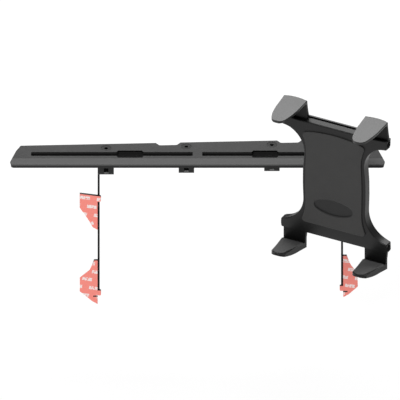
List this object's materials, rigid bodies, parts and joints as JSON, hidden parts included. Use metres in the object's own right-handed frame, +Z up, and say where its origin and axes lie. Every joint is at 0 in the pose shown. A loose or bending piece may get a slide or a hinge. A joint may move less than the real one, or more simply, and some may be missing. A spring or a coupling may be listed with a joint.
{
  "type": "dash tablet mount",
  "caption": "Slotted dashboard plate on folded adhesive brackets, carrying a clamped ball arm and a sprung tablet holder.",
  "frame": {"origin": "on the flat underside of the dash plate, under the middle of its two slots", "axes": "+X along the plate to the right as the driver sees it, +Y to the rear, away from the viewer, +Z up"},
  "size_m": [0.4302, 0.1878, 0.3098],
  "materials": {
    "black_coat": "fine powder coat, satin",
    "bracket_coat": "thin black coat on folded steel",
    "black_steel": "blackened",
    "zinc_steel": "zinc plated",
    "foam_tape": "grey-black acrylic foam",
    "red_liner": "thin translucent release film",
    "nylon": "black nylon",
    "arm_coat": "powder coat",
    "ball_rubber": "hard rubber over metal",
    "knob_plastic": "glass-filled plastic",
    "brass": "turned",
    "shell_plastic": "fine moulded texture",
    "grip_plastic": "fine moulded texture",
    "pad_rubber": "soft, finely textured",
    "spring_steel": "drawn wire"
  },
  "bodies": {
    "dash": {"dash_plate": "black_coat", "plate_screws": "black_steel", "left_side_bracket": "bracket_coat", "right_side_bracket": "bracket_coat", "left_lug_bracket": "bracket_coat", "right_lug_bracket": "bracket_coat", "upper_left_tape": "foam_tape", "upper_left_liner": "red_liner", "lower_left_tape": "foam_tape", "lower_left_liner": "red_liner", "upper_right_tape": "foam_tape", "upper_right_liner": "red_liner", "lower_right_tape": "foam_tape", "lower_right_liner": "red_liner"},
    "slider": {"slot_nut": "zinc_steel", "base_washer": "nylon"},
    "base_swivel": {"base_ball": "ball_rubber"},
    "arm": {"arm_half_left": "arm_coat", "arm_half_right": "arm_coat", "arm_bolt": "black_steel", "arm_washer": "zinc_steel", "arm_spring": "spring_steel"},
    "knob": {"arm_knob": "knob_plastic", "knob_insert": "brass"},
    "socket_ball": {"holder_ball": "ball_rubber"},
    "holder": {"front_shell": "shell_plastic", "back_shell": "shell_plastic", "front_pad": "pad_rubber", "lower_left_leg": "grip_plastic", "lower_right_leg": "grip_plastic", "lower_left_leg_pad": "pad_rubber", "lower_right_leg_pad": "pad_rubber", "leg_screws": "black_steel", "shell_screws": "black_steel", "ball_plate": "arm_coat", "ball_plate_screws": "black_steel", "left_spring": "spring_steel", "right_spring": "spring_steel"},
    "carriage": {"carriage_plate": "shell_plastic", "upper_left_finger": "grip_plastic", "upper_right_finger": "grip_plastic", "upper_left_finger_pad": "pad_rubber", "upper_right_finger_pad": "pad_rubber", "finger_screws": "black_steel"}
  },
  "joints": [
    {"name": "base_slide", "type": "slide", "parent": "dash", "child": "slider", "axis": [1, 0, 0], "range_m": [-0.158, 0.0025]},
    {"name": "base_turn", "type": "hinge", "parent": "slider", "child": "base_swivel", "pos_m": [0.1742, 0, 0.008], "axis": [0, 0, 1], "range_deg": [-8, 35]},
    {"name": "arm_pitch", "type": "hinge", "parent": "base_swivel", "child": "arm", "pos_m": [0.1742, 0, 0.03], "axis": [-0.9955, 0.0946, 0], "range_deg": [-8, 30]},
    {"name": "knob_turn", "type": "hinge", "parent": "arm", "child": "knob", "pos_m": [0.15141, -0.02845, 0.03], "axis": [-0.9955, 0.0946, 0], "continuous": true},
    {"name": "holder_tilt", "type": "hinge", "parent": "arm", "child": "socket_ball", "pos_m": [0.16843, -0.06068, 0.03], "axis": [0.8886, -0.4586, 0], "range_deg": [-15, 15]},
    {"name": "holder_roll", "type": "hinge", "parent": "socket_ball", "child": "holder", "pos_m": [0.16843, -0.06068, 0.03], "axis": [0.4586, 0.8886, 0], "range_deg": [-90, 90]},
    {"name": "carriage_slide", "type": "slide", "parent": "holder", "child": "carriage", "axis": [0, 0, 1], "range_m": [0, 0.045], "stiffness_N_per_m": 150, "springref_m": -0.06, "deforming": ["left_spring", "right_spring"]}
  ]
}
